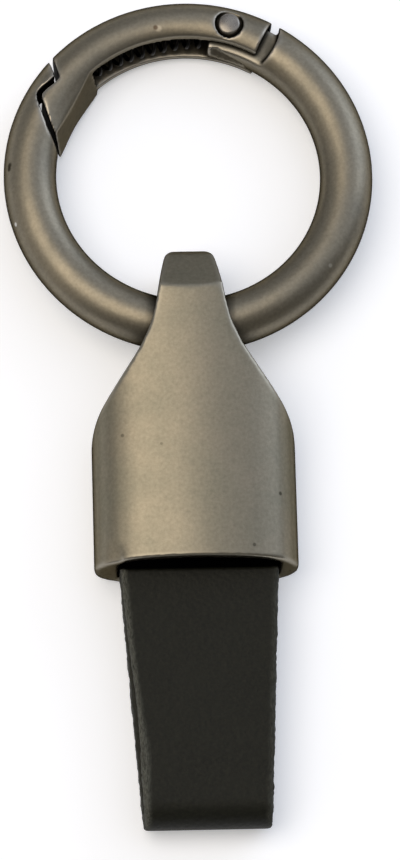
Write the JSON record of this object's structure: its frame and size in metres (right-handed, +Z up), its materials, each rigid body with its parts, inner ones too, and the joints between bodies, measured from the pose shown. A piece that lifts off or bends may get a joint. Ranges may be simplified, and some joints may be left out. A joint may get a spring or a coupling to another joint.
{
  "type": "belt key clip",
  "caption": "Belt key clip: a round ring with a sprung gate, threaded through a bottle-shaped metal cap that holds a folded leather strap loop.",
  "frame": {"origin": "on the table, under the middle of the whole clip as it lies on its back", "axes": "+Y runs along the clip from the strap's fold to the ring, +X to the hinge side of the gate, +Z up from the table towards the front of the cap"},
  "size_m": [0.035, 0.08, 0.0084],
  "materials": {
    "ring_metal": "satin gunmetal nickel plate on a zinc casting",
    "rivet_steel": "satin gunmetal nickel plate, head pressed smooth",
    "spring_steel": "bright drawn spring wire",
    "cap_metal": "satin brushed gunmetal nickel plate on a zinc casting",
    "strap_leather": "black dyed leather with raw cut edges",
    "screw_steel": "blackened nickel plated steel"
  },
  "bodies": {
    "cap": {"cap": "cap_metal", "strap": "strap_leather", "strap_screw": "screw_steel"},
    "ring": {"ring_body": "ring_metal"},
    "gate": {"gate": "ring_metal", "gate_rivet": "rivet_steel", "gate_spring": "spring_steel"}
  },
  "joints": [
    {"name": "ring_swing", "type": "hinge", "parent": "cap", "child": "ring", "pos_m": [0, 0.00752, 0.0042], "axis": [1, 0, 0], "range_deg": [-130, 135]},
    {"name": "gate_pivot", "type": "hinge", "parent": "ring", "child": "gate", "pos_m": [0.00425, 0.03709, 0.00252], "axis": [0, 0.0567, 0.9984], "range_deg": [0, 40], "stiffness_Nm_per_rad": 0.006, "springref_deg": -40.11, "deforming": ["gate_spring"]}
  ]
}
